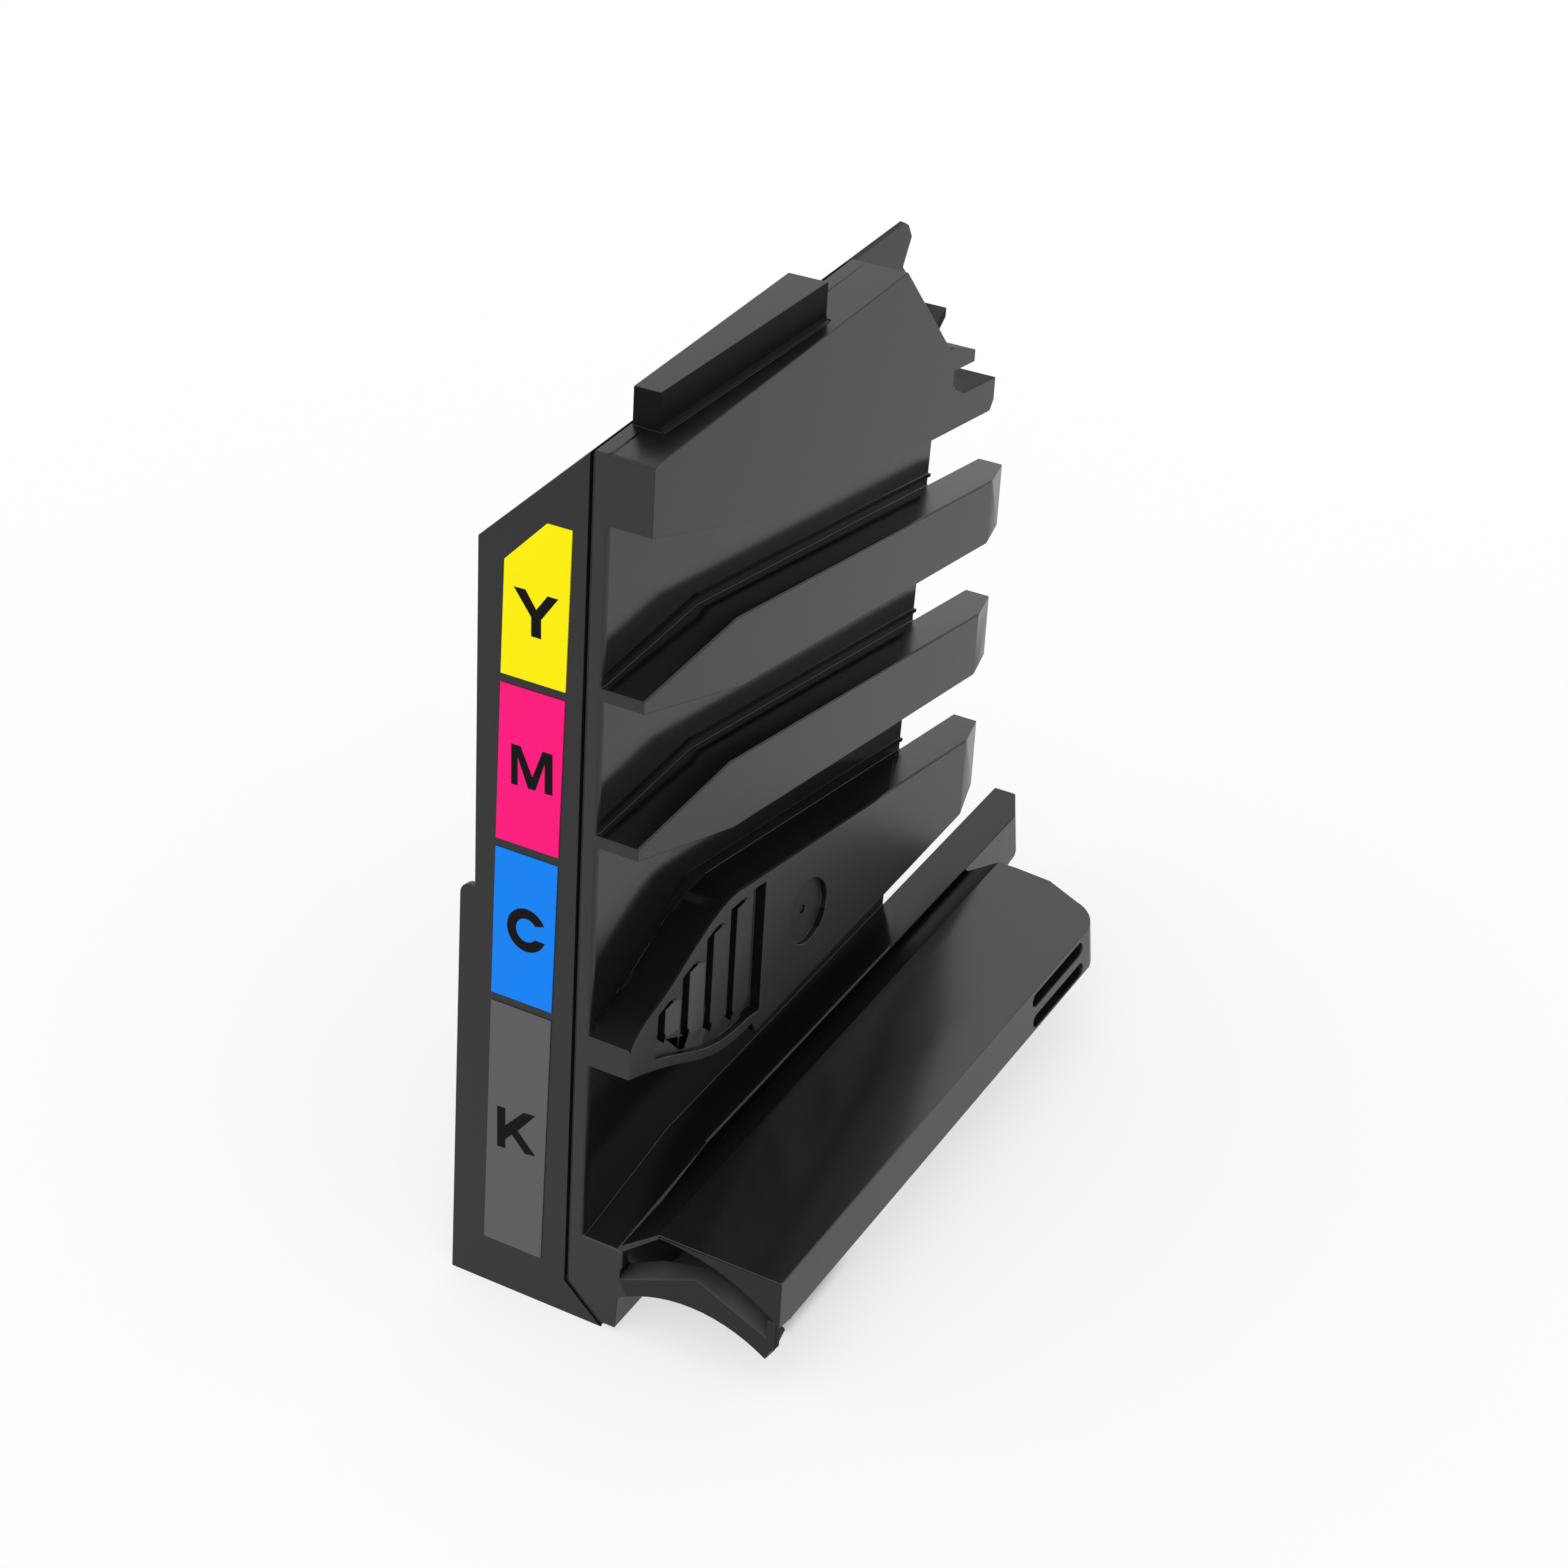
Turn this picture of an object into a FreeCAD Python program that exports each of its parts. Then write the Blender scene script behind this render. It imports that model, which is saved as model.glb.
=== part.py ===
import FreeCAD, Part
import math
import os

from FreeCAD import Vector

# Waste toner container of a small colour printer, in millimetres.
# A deep pan on the left collects the waste powder. A right-hand moulding closes it and carries
# four guide rails for the cartridges, a side tray, a pull bar and the hooked block on top.
# The foot stands level. The front face leans back, and "up the face" heights are measured along it.
# While the solids are built, x runs right from the pan's left side, y runs back and z up
# from the front bottom edge. At the end everything moves so that the origin is under the middle.

# Stance
face_lean = 12.3
rear_lean = 15.6
top_fall = 2.1
foot_length = 106.5

# Pan, with its weld face to the right
pan_width = 26.5
pan_wall = 2.0
left_inset = 3.1
left_inset_level = 150.0
left_draft = 0.55
flange_height = 82.5
flange_depth = 1.8
flange_corner = 2.2
flange_lean = 0.5
chamfer_angle = 42.1
foot_width = 35.4
foot_bevel_height = 7.0

# Ear of the pan that stands up behind the block
ear_reach = 137.0
ear_nose = 3.7
ear_notch_depth = 9.7

# Weld groove
groove_width = 0.95
groove_depth = 1.0

# Inlet in the pan's rear wall
inlet_width = 12.0
inlet_height = 22.0
inlet_centre_x = 13.5
inlet_centre_z = 118.0
collar_wall = 2.0
collar_height = 2.5
seal_width = 2.6
seal_height = 3.0

# Closing plate
plate_thickness = 3.5
plate_lead = 0.5
lead_length = 0.9

# Guide rails one to three, heights up the face
rail_width = 8.7
rail_depth = 14.0
rail_pitch = 28.05
rail_three_top = 78.9
rail_reach = 131.0
rail_shortening = 0.8
rail_end_length = 10.2
rail_fall = 1.0
third_rail_fall = 0.4
rail_tip_width = 5.4
lip_height = 2.4
lip_drop = 6.3
lead_in = 29.0
rail_wall = 2.0
edge_round = 0.5
bead_height = 0.7
bead_lift = 1.7
bead_start = 1.2
bead_overrun = 0.3

# Front of the third rail, which is a deep panel with louvres
panel_lip_top = 60.5
panel_lip_bottom = 54.4
panel_run_start = 36.0
rim_length = 41.5
rim_drop = 7.7
rim_step = 1.3
low_bay_ceiling = 35.1
louvre_count = 4
louvre_pitch = 7.7
louvre_start = 8.9
louvre_width = 7.3
louvre_groove = 3.4
louvre_depth = 2.4
louvre_foot_slant = 2.6
louvre_head_slant = 1.3
fin_step = 0.7
fin_end_gap = 0.9
fin_end_run = 1.9
louvre_top_land = 2.6
louvre_foot = 4.3
last_groove_width = 4.3
sill_rim = 2.2
sill_depth = 1.5
sill_width = 5.4
dial_radius = 6.7
dial_depth = 1.3
dial_y = 60.0
dial_z = 64.0
dimple_radius = 0.9
panel_pocket_start = 34.0

# Shape of the panel's curved edges, as shares of their length and of their rise or drop
ramp_shape = ((0.083, 0.158), (0.267, 0.337), (0.436, 0.527), (0.68, 0.82), (0.842, 0.957))
rim_shape = ((0.166, 0.18), (0.41, 0.56), (0.685, 0.98), (0.86, 1.0), (1.0, 0.88))

# Top block
block_width = 12.5
block_bay = 14.8
block_height = 21.5
block_nose = 12.8
block_lead = 44.3
block_wall = 2.2
block_top_reach = 80.8
block_rear = 118.2
nose_round = 0.6
slope_run = 18.4
slope_drop = 19.2
jaw_height = 6.6
jaw_land = 1.4
jaw_tip = 2.4
hook_gap = 5.4
hook_reach = 16.9
hook_round = 4.6
upper_jaw_setback = 9.1
nub_run = 13.1
nub_drop = 13.0
nub_length = 11.0
nub_height = 4.2
nub_thickness = 1.8

# Rib on the block
rib_front = 10.2
rib_length = 48.0
rib_width = 5.6
rib_rear_width = 8.4
rib_height = 6.9
rib_cove = 0.9
rib_offset = 0.8

# Floor rail and lower body
floor_height = 20.2
floor_crest = 21.9
floor_crest_y = 32.9
floor_lip = 18.0
floor_reach = 159.0
floor_shoulder = 151.8
floor_tip_width = 5.0
body_gap = 1.0
body_strip = 2.3
tip_rise = 8.0
tip_lean = 30.0

# Side tray
tray_right = 73.0
tray_top = 24.2
tray_bottom = 14.1
tray_wall = 2.0
band_width = 7.5
band_edge = 0.8
tray_side_end = 121.0
tray_rear = 131.8
tray_corner_x = 66.9
tray_corner_y = 127.5
tray_corner_run = 8.2
tray_corner_fall = 0.7
tray_rib_count = 4
tray_rib_thickness = 1.6
tray_rib_gap = 3.0
arch_radius = 44.4
arch_start_x = 46.5
slot_length = 20.5
slot_start = 97.8
slot_height = 3.0
slot_levels = (14.7, 19.9)

# Pull bar across the tray's front
bar_depth = 3.5
bar_crown_x = 54.8
bar_low_crown = 12.1
bar_low_end = 7.6
bar_fold_crown = 18.4
bar_fold_end = 11.3
bar_back_crown = 19.4
bar_back_end = 13.2
bar_back_round = 0.18
bar_root = 1.95
bar_end_gap = 0.6
lug_reach = 1.6

# Stickers on the front face
label_thickness = 0.2
label_left = 7.5
label_left_lean = 0.55
label_right = 20.5
label_right_lean = 0.9
label_gap = 1.7
label_foot = 9.8
label_black_height = 51.0
label_cyan_height = 29.7
label_magenta_height = 30.4
label_yellow_height = 30.0
label_peak = 5.2
label_shoulder = 8.6

# Worked out from the sizes above
sin_lean = math.sin(math.radians(face_lean))
cos_lean = math.cos(math.radians(face_lean))
plate_face = pan_width + plate_thickness
rail_face = plate_face + rail_width
block_face = pan_width + block_width
body_right = foot_width + body_strip
floor_face = rail_face + 0.15
rail_tops = [rail_three_top + rail_pitch * step for step in range(3)]
block_floor = rail_tops[-1] + block_bay
ridge_height = block_floor + block_height
jaw_level = block_floor + jaw_height
throat = block_rear - hook_reach
label_heights = [label_black_height, label_cyan_height, label_magenta_height, label_yellow_height]
far = 400.0


def leaning(x, y, z):
    """Point given square to the front face: y behind it, z up it."""
    return Vector(x, y * cos_lean + z * sin_lean, z * cos_lean - y * sin_lean)


def level(x, y, z):
    return Vector(x, y, z)


def prism(points, direction):
    return Part.Face(Part.makePolygon(points + points[:1])).extrude(direction)


def side_prism(place, outline, left, right):
    """Outline of (y, z) pairs, carried from x = left to x = right."""
    return prism([place(left, y, z) for y, z in outline], Vector(right - left, 0, 0))


def curved_prism(place, runs, left, right):
    """Closed chain of runs of (y, z) pairs, carried from x = left to x = right.

    Two points make a straight run, more make a smooth curve.
    """
    edges = []
    for run in runs:
        points = [place(left, y, z) for y, z in run]
        curve = Part.LineSegment(*points) if len(points) == 2 else Part.BSplineCurve()
        if len(points) > 2:
            curve.interpolate(points)
        edges.append(curve.toShape())
    return Part.Face(Part.Wire(edges)).extrude(Vector(right - left, 0, 0))


def rounded(shape, radius, points):
    """Shape with a round on each edge that passes through one of the points."""
    near = [
        edge for edge in shape.Edges
        if any(edge.distToShape(Part.Vertex(point))[0] < 0.01 for point in points)
    ]
    return shape.makeFillet(radius, near)


def plan_prism(place, outline, low, high):
    """Outline of (x, y) pairs, carried from z = low to z = high."""
    return prism([place(x, y, low) for x, y in outline], place(0, 0, high) - place(0, 0, low))


def front_prism(place, outline, front, back):
    """Outline of (x, z) pairs, carried from y = front to y = back."""
    return prism([place(x, front, z) for x, z in outline], place(0, back, 0) - place(0, front, 0))


def top_line(y):
    """Height up the face of the level top, which falls a little to the rear."""
    return ridge_height + y * math.tan(math.radians(face_lean - top_fall))


def rear_line(z):
    """Distance back, from the level foot, of the pan's rear wall at height z."""
    return foot_length + z * math.tan(math.radians(rear_lean))


def inset_outline(outline, inset):
    """Outline of (y, z) pairs moved inwards by the same amount all round."""
    wire = Part.makePolygon([level(0, y, z) for y, z in outline + outline[:1]])
    smaller = Part.Face(wire).makeOffset2D(-inset, 2)
    return smaller


def pan_side():
    """Side outline of the pan in the level frame, with the ear behind the block."""
    front_top = leaning(0, 0, ridge_height)
    ear_top = front_top.z - (ear_reach - front_top.y) * math.tan(math.radians(top_fall))
    bulge = ear_top - 2.4 * ear_notch_depth
    return [
        (0, 0),
        (front_top.y, front_top.z),
        (ear_reach, ear_top),
        (ear_reach + ear_nose * 0.75, ear_top - ear_nose * 0.6),
        (ear_reach + ear_nose, ear_top - ear_nose * 1.35),
        (ear_reach, ear_top - ear_notch_depth),
        (rear_line(bulge), bulge),
        (foot_length, 0),
    ]


def open_side():
    """Side outline, in the level frame, of the pan's open side that the plate and block cover."""
    corners = [
        (0, ridge_height),
        (block_top_reach, top_line(block_top_reach)),
        (block_top_reach + slope_run, top_line(block_top_reach) - slope_drop),
        (throat, jaw_level + hook_gap / 2),
        (throat + hook_round, jaw_level),
        (rear_edge_at(jaw_level), jaw_level),
    ]
    points = [leaning(0, y, z) for y, z in corners]
    return [(0, 0)] + [(p.y, p.z) for p in points] + [(foot_length, 0)]


def left_side(z):
    """Distance of the pan's drafted left wall from the flange's edge, at height z."""
    return left_inset + (left_inset_level - z) * math.tan(math.radians(left_draft))


def pan_section(inset):
    """Front outline of the pan in (x, z), without the top chamfer."""
    corner = foot_width - 3 * inset
    return [
        (left_side(0) + inset, inset),
        (corner, inset),
        (pan_width, foot_bevel_height + inset),
        (pan_width, far),
        (left_side(far) + inset, far),
    ]


def chamfer_cut(inset):
    """What the sloping upper left side takes off, running along the falling top."""
    slope = math.tan(math.radians(chamfer_angle))
    drop = inset / math.cos(math.radians(chamfer_angle))
    left = -pan_width
    right = foot_width
    outline = [
        (left, ridge_height - (pan_width - left) * slope - drop),
        (right, ridge_height - (pan_width - right) * slope - drop),
        (right, ridge_height + far),
        (left, ridge_height + far),
    ]
    start = -pan_width
    lift = math.tan(math.radians(face_lean - top_fall))
    points = [leaning(x, start, z + start * lift) for x, z in outline]
    return prism(points, leaning(0, far, far * lift))


def front_flange():
    """Narrow flange that widens the lower front to the left, with a rounded upper corner."""
    top = flange_height
    inner = left_side(top) + 1
    lean = flange_lean * (top - flange_corner) / top
    turn = flange_corner * (1 - math.sqrt(0.5))
    corner = Part.Arc(
        leaning(lean, 0, top - flange_corner),
        leaning(lean + turn, 0, top - turn),
        leaning(lean + flange_corner, 0, top),
    )
    points = [
        leaning(lean + flange_corner, 0, top),
        leaning(inner, 0, top),
        leaning(inner, 0, 0),
        leaning(0, 0, 0),
        leaning(lean, 0, top - flange_corner),
    ]
    edges = [corner.toShape()] + [Part.LineSegment(a, b).toShape() for a, b in zip(points, points[1:])]
    flange = Part.Face(Part.Wire(edges)).extrude(leaning(0, flange_depth, 0))
    above_ground = Part.makeBox(far, far, far, Vector(-far / 2, -far / 2, 0))
    return flange.common(above_ground)


def pan_hollow():
    """Inside of the pan, open to the right except in the ear."""
    whole = inset_outline(pan_side(), pan_wall).extrude(Vector(pan_width - pan_wall, 0, 0))
    reach = inset_outline(open_side(), pan_wall).extrude(Vector(foot_width, 0, 0))
    hollow = whole.fuse(reach).common(front_prism(level, pan_section(pan_wall), -1, far))
    return hollow.cut(chamfer_cut(pan_wall))


def pan_shell():
    outer = side_prism(level, pan_side(), 0, foot_width)
    outer = outer.common(front_prism(level, pan_section(0), -1, far))
    outer = outer.cut(chamfer_cut(0))
    shell = outer.fuse(front_flange()).cut(pan_hollow())
    shell = shell.fuse(inlet_part(0, collar_height, collar_wall))
    shell = shell.cut(inlet_part(-3 * pan_wall, collar_height + 1, 0))
    return shell.cut(weld_groove()).removeSplitter()


def inlet_part(start, end, margin):
    """Rounded slot through the leaning rear wall, from start to end along its outward normal."""
    radius = inlet_width / 2 + margin
    straight = inlet_height - inlet_width
    lean = math.radians(rear_lean)
    centre = Vector(inlet_centre_x, rear_line(inlet_centre_z), inlet_centre_z)
    up = Vector(0, math.sin(lean), math.cos(lean))
    out = Vector(0, math.cos(lean), -math.sin(lean))
    side = Vector(1, 0, 0)
    base = centre + out * start
    low = base - up * (straight / 2)
    high = base + up * (straight / 2)
    edges = [
        Part.LineSegment(low + side * radius, high + side * radius).toShape(),
        Part.Arc(high + side * radius, high + up * radius, high - side * radius).toShape(),
        Part.LineSegment(high - side * radius, low - side * radius).toShape(),
        Part.Arc(low - side * radius, low - up * radius, low + side * radius).toShape(),
    ]
    return Part.Face(Part.Wire(edges)).extrude(out * (end - start))


def inlet_seal():
    """Foam ring on the face of the inlet's collar."""
    ring = inlet_part(collar_height, collar_height + seal_height, seal_width)
    return ring.cut(inlet_part(collar_height - 1, collar_height + seal_height + 1, 0))


def weld_groove():
    """Groove that shows along the weld, down the front, across the foot's bevel and on the top."""
    half = groove_width / 2
    bend = foot_bevel_height / cos_lean
    run = Vector(foot_width - pan_width, 0, -bend)
    run.normalize()
    across = Vector(-run.z, 0, run.x) * half
    below = 3 * groove_width
    start = Vector(pan_width, 0, bend)
    end = Vector(foot_width, 0, 0) + run * below
    mitre = half * math.tan(math.atan2(foot_width - pan_width, bend) / 2)
    outline = [
        (pan_width - half, top_line(0) + 1),
        (pan_width + half, top_line(0) + 1),
        (pan_width + half, start.z + mitre),
        (end.x + across.x, end.z + across.z),
        (end.x - across.x, end.z - across.z),
        (pan_width - half, start.z - mitre),
    ]
    front = front_prism(leaning, outline, -1, groove_depth)
    top = side_prism(
        leaning,
        [
            (-1, top_line(-1) - groove_depth),
            (far / 2, top_line(far / 2) - groove_depth),
            (far / 2, top_line(far / 2) + 5),
            (-1, top_line(-1) + 5),
        ],
        pan_width - half,
        pan_width + half,
    )
    return front.fuse(top)


def closing_plate():
    """Flat wall that closes the pan, with its thinner leading edge."""
    plate = side_prism(level, open_side(), pan_width, plate_face)
    lead = plan_prism(
        leaning,
        [
            (plate_face - plate_lead, -1),
            (plate_face - plate_lead, 0),
            (plate_face, lead_length),
            (plate_face + 1, lead_length),
            (plate_face + 1, -1),
        ],
        -far,
        far,
    )
    return plate.cut(lead)


def foot_room():
    """Room that the pan's bevelled foot takes under the plate."""
    slope = (foot_width - pan_width) / foot_bevel_height
    outline = [
        (pan_width - slope, foot_bevel_height + 1),
        (pan_width - slope, -1),
        (foot_width + slope, -1),
    ]
    return front_prism(level, outline, -1, far)


def reach_of(number):
    """Rear end of rail one, two or three; the lower ones are a little shorter."""
    return rail_reach - rail_shortening * (2 - number)


def run_height(number, y):
    """Height of a rail's top at distance y; it falls a little to the rear."""
    fall = rail_fall if number else third_rail_fall
    return rail_tops[number] - fall * (y - lead_in) / (rail_reach - lead_in)


def rail_outline(number):
    """Side outline of a guide rail: a beak at the front, then a straight run."""
    top = rail_tops[number]
    low = top - rail_depth
    lip = top - lip_drop
    rear = reach_of(number)
    return [
        (0, lip - lip_height),
        (0, lip),
        (lead_in, top),
        (rear, run_height(number, rear)),
        (rear, low),
        (lead_in + 2, low),
    ]


def rail_end_cut(number):
    """Slanting cut on the rear end of each rail."""
    tip = plate_face + rail_tip_width
    rear = reach_of(number)
    outline = [
        (rail_face + 1, rear - rail_end_length),
        (rail_face, rear - rail_end_length),
        (tip, rear),
        (tip, rear + 1),
        (rail_face + 1, rear + 1),
    ]
    return plan_prism(leaning, outline, 0, far)


def bead(number):
    """Fine raised line on the wall above a rail."""
    top = rail_tops[number] + bead_lift
    rear = rear_edge_at(top) + bead_overrun
    rear_top = run_height(number, rear) + bead_lift
    front = panel_lip_top - rail_three_top if number == 0 else -lip_drop
    outline = [
        (bead_start, top + front),
        (lead_in, top),
        (rear, rear_top),
        (rear, rear_top + bead_height),
        (lead_in, top + bead_height),
        (bead_start, top + front + bead_height),
    ]
    return side_prism(leaning, outline, plate_face - 0.5, plate_face + bead_height / 2)


def guide_rail(number):
    rail = side_prism(leaning, rail_outline(number), plate_face - 0.5, rail_face)
    halfway = (lead_in + reach_of(number)) / 2
    ramp = leaning(rail_face, lead_in / 2, rail_tops[number] - lip_drop / 2)
    run = leaning(rail_face, halfway, run_height(number, halfway))
    rail = rounded(rail, edge_round, [ramp, run])
    rail = rail.cut(tip_clearance(rail_tops[number]))
    return rail.cut(rail_end_cut(number))


def tip_clearance(top):
    """Trims the rail's root so that its free tip is flush with the wall."""
    rear = rear_edge_at(top)
    return side_prism(
        leaning,
        [(rear, top - far), (rear, top + far), (far, top + far), (far, top - far)],
        plate_face - 1,
        plate_face,
    )


def rear_edge_at(height):
    """Distance behind the face of the pan's rear wall, at a height up the face."""
    slope = math.tan(math.radians(rear_lean - face_lean))
    foot = foot_length * cos_lean
    start = foot_length * sin_lean
    return foot + (height - start) * slope


def ramp_points():
    """Curved upper edge of the third rail's panel, from its front lip to its level run."""
    rise = rail_three_top - panel_lip_top
    inner = [(a * panel_run_start, panel_lip_top + b * rise) for a, b in ramp_shape]
    return [(0, panel_lip_top)] + inner + [(panel_run_start, rail_three_top)]


def rim_points(lift):
    """Curved lower edge of the panel, moved up by lift."""
    inner = [(a * rim_length, panel_lip_bottom - b * rim_drop + lift) for a, b in rim_shape]
    return [(0, panel_lip_bottom + lift)] + inner


def height_on(points, y):
    """Height of a curved edge at distance y, read between its points."""
    pairs = list(zip(points, points[1:]))
    start, end = next((pair for pair in pairs if y <= pair[1][0]), pairs[-1])
    return start[1] + (end[1] - start[1]) * (y - start[0]) / (end[0] - start[0])


def bay_ceiling_at(y):
    """Height up the face, at distance y behind it, of the level ceiling over the lowest bay."""
    return (low_bay_ceiling + y * sin_lean) / cos_lean


def panel_runs():
    """Side outline of the third rail: curved ramp above, deep panel with louvres below."""
    ramp = ramp_points()
    rim = rim_points(0)
    rear = reach_of(0)
    notch = rim_length + rim_step
    corners = [
        ramp[-1],
        (rear, run_height(0, rear)),
        (rear, bay_ceiling_at(rear)),
        (notch, bay_ceiling_at(notch)),
        rim[-1],
    ]
    return [ramp] + [list(pair) for pair in zip(corners, corners[1:])] + [rim[::-1], [rim[0], ramp[0]]]


def panel_rail():
    rail = curved_prism(leaning, panel_runs(), plate_face - 0.5, rail_face)
    halfway = (panel_run_start + reach_of(0)) / 2
    ramp = leaning(rail_face, *ramp_points()[3])
    run = leaning(rail_face, halfway, run_height(0, halfway))
    rail = rounded(rail, edge_round, [ramp, run])
    rail = rail.cut(tip_clearance(rail_three_top)).cut(rail_end_cut(0))
    rail = rail.cut(sill())
    for number in range(louvre_count):
        rail = rail.cut(louvre_gap(number)).cut(louvre_fin(number))
    rail = rail.cut(last_groove())
    dial_place = leaning(rail_face - dial_depth, dial_y, dial_z)
    dimple_place = leaning(rail_face - 1.5 * dial_depth, dial_y, dial_z)
    dial = Part.makeCylinder(dial_radius, dial_depth + 1, dial_place, Vector(1, 0, 0))
    dimple = Part.makeCylinder(dimple_radius, 2 * dial_depth, dimple_place, Vector(1, 0, 0))
    return rail.cut(dial).cut(dimple)


def under_ramp(y):
    """Height that leaves a land under the panel's ramp, at distance y."""
    return height_on(ramp_points(), y) - louvre_top_land


def louvre_ends(number):
    """Front edge of a louvre, its foot and head there, and the head of its fin."""
    start = louvre_start + number * louvre_pitch
    foot = height_on(rim_points(sill_rim), start) + louvre_foot
    head = under_ramp(start)
    return start, foot, head, min(head + louvre_head_slant, under_ramp(start + louvre_groove))


def louvre_gap(number):
    """Deep gap in front of a fin, which hooks round over the fin's head."""
    start, low, high, head = louvre_ends(number)
    fin = start + louvre_groove
    hook = fin + fin_end_run
    side = [
        (start, low),
        (start, high),
        (fin, head),
        (hook, head),
        (hook, head - fin_end_gap),
        (fin, head - 2 * fin_end_gap),
        (fin, low - louvre_foot_slant),
    ]
    return side_prism(leaning, side, rail_face - louvre_depth, rail_face + 1)


def louvre_fin(number):
    """What is taken off a fin's face, which slopes back out to the panel; its foot is round."""
    start, low, high, head = louvre_ends(number)
    front = start + louvre_groove
    rear = start + louvre_width
    middle = (front + rear) / 2
    radius = (rear - front) / 2
    plan = [
        (rail_face + 1, front),
        (rail_face - fin_step, front),
        (rail_face, rear),
        (rail_face + 1, rear),
    ]
    foot = low - louvre_foot_slant + radius
    side = side_prism(
        leaning,
        [(front, foot), (front, head), (rear, head - fin_end_gap), (rear, foot)],
        plate_face,
        rail_face + 1,
    )
    end = Part.makeCylinder(radius, far, leaning(plate_face, middle, foot), Vector(1, 0, 0))
    return plan_prism(leaning, plan, 0, far).common(side.fuse(end))


def last_groove():
    """Straight groove behind the last louvre, from the sill to under the ramp."""
    start = louvre_start + louvre_count * louvre_pitch
    end = start + last_groove_width
    low = height_on(rim_points(sill_rim), start)
    high = under_ramp(start)
    side = [(start, low), (start, high), (end, high), (end, low)]
    return side_prism(leaning, side, rail_face - louvre_depth, rail_face + 1)


def sill():
    """Ledge under the louvres that slopes in towards the rim along the panel's lower edge."""
    sections = []
    for y, z in rim_points(sill_rim):
        points = [
            leaning(rail_face + 1, y, z),
            leaning(rail_face - sill_depth, y, z),
            leaning(rail_face + 1, y, z + sill_width * (sill_depth + 1) / sill_depth),
        ]
        sections.append(Part.makePolygon(points + points[:1]))
    start = louvre_start - 0.5
    end = louvre_start + louvre_count * louvre_pitch + last_groove_width
    limits = [(start, 0), (end, 0), (end, far), (start, far)]
    return Part.makeLoft(sections, True).common(side_prism(leaning, limits, plate_face, far))


def panel_pocket():
    """Hollow behind the louvred panel, open to the pan."""
    rear = rear_edge_at(rail_three_top) - 3 * rail_wall
    top = rail_three_top - rail_fall - rail_wall
    floor = bay_ceiling_at(rear) + rail_wall
    front = panel_pocket_start
    outline = [
        (front / 2, height_on(rim_points(rail_wall), front / 2)),
        (front / 2, height_on(ramp_points(), front / 2) - 2 * rail_wall),
        (front, top - rail_wall),
        (rear, top),
        (rear, floor),
        (rim_length + 2 * rail_wall, bay_ceiling_at(rim_length) + 2 * rail_wall),
        (rim_length, height_on(rim_points(2 * rail_wall), rim_length)),
    ]
    return side_prism(leaning, outline, pan_width - 1, rail_face - louvre_depth - rail_wall)


def block_outline():
    """Side outline of the top block, with its sloping rear and hooked jaw."""
    slope_end = block_top_reach + slope_run
    slope_foot = top_line(block_top_reach) - slope_drop
    upper_jaw = jaw_level + hook_gap
    jaw_end = block_rear - upper_jaw_setback
    return [
        (0, ridge_height - block_nose),
        (0, ridge_height - nose_round),
        (nose_round, ridge_height),
        (block_top_reach, top_line(block_top_reach)),
        (slope_end, slope_foot),
        (slope_end + jaw_land, slope_foot),
        (jaw_end, upper_jaw + jaw_tip),
        (jaw_end, upper_jaw),
        (throat, upper_jaw),
        (throat, jaw_level + hook_gap / 2),
        (throat + hook_round / 3, jaw_level + hook_gap / 5),
        (throat + hook_round, jaw_level),
        (block_rear, jaw_level),
        (block_rear, block_floor + 2),
        (block_rear - 1.3, block_floor),
        (block_lead, block_floor),
    ]


def nub():
    """Small rib across the sloping rear of the block."""
    y = block_top_reach + nub_run
    z = top_line(block_top_reach) - nub_drop
    root = 2.0
    outline = [
        (y - root, z - root),
        (y + nub_height, z + nub_height / 2),
        (y + nub_height, z + nub_height / 2 - nub_thickness),
        (y - root, z - 2 * root - nub_thickness),
    ]
    return side_prism(leaning, outline, block_face - 1 - nub_length, block_face - 1)


def top_block():
    block = side_prism(leaning, block_outline(), pan_width, block_face)
    block = block.fuse(nub())
    return block.fuse(top_rib())


def block_pocket():
    """Hollow of the block, open to the pan."""
    outline = [leaning(0, y, z) for y, z in block_outline()]
    wire = Part.makePolygon(outline + outline[:1])
    inner = Part.Face(wire).makeOffset2D(-block_wall, 2)
    inner.translate(Vector(pan_width - 1, 0, 0))
    pocket = inner.extrude(Vector(block_width - block_wall + 1, 0, 0))
    room = inset_outline(open_side(), 2 * pan_wall)
    room.translate(Vector(pan_width - 1, 0, 0))
    return pocket.common(room.extrude(Vector(block_width + 1, 0, 0)))


def rail_pocket(number):
    """Hollow of a rail, open to the pan."""
    top = rail_tops[number]
    y0 = lead_in + rail_wall
    y1 = rear_edge_at(top) - 3 * rail_wall
    z0 = top - rail_depth + rail_wall
    z1 = top - rail_fall - rail_wall
    outline = [(y0, z0), (y0, z1), (y1, z1), (y1, z0)]
    return side_prism(leaning, outline, pan_width - 1, rail_face - rail_wall)


def floor_pocket():
    """Hollow of the floor rail, open to the pan."""
    low = foot_bevel_height + 2 * rail_wall
    high = floor_lip * cos_lean - rail_wall
    rear = foot_length - rail_wall
    outline = [(3 * rail_wall, low), (3 * rail_wall, high), (rear, high), (rear, low)]
    return side_prism(level, outline, pan_width - 1, floor_face - rail_wall)


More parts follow.
